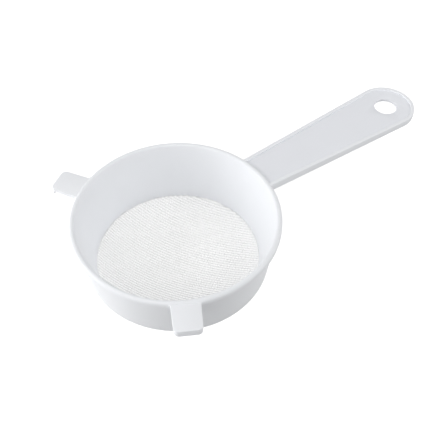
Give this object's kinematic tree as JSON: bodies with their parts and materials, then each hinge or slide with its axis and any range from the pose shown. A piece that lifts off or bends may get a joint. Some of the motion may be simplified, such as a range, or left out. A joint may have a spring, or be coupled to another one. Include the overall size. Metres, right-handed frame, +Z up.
{
  "type": "hand sieve",
  "caption": "White plastic hand sieve: tapered round bowl with a woven mesh base, flat handle with a hanging hole, and hooked rest lugs on the rim.",
  "frame": {"origin": "on the bowl's axis, on the plane that the base stands on", "axes": "+X along the handle towards its tip, +Z up out of the bowl"},
  "size_m": [0.2406, 0.138, 0.035],
  "materials": {
    "moulded_plastic": "satin white polypropylene, slightly cool",
    "stippled_plastic": "white polypropylene with a fine moulded stipple",
    "mesh_nylon": "plain-woven white nylon monofilament"
  },
  "bodies": {
    "root": {"rim_lip": "moulded_plastic", "bowl_wall": "moulded_plastic", "base_ring": "moulded_plastic", "left_handle_rail": "moulded_plastic", "right_handle_rail": "moulded_plastic", "handle_end_rail": "moulded_plastic", "right_rest_lug": "moulded_plastic", "left_rest_lug": "moulded_plastic", "handle_panel": "stippled_plastic", "hanging_eye": "stippled_plastic", "sieve_mesh": "mesh_nylon"}
  },
  "joints": []
}
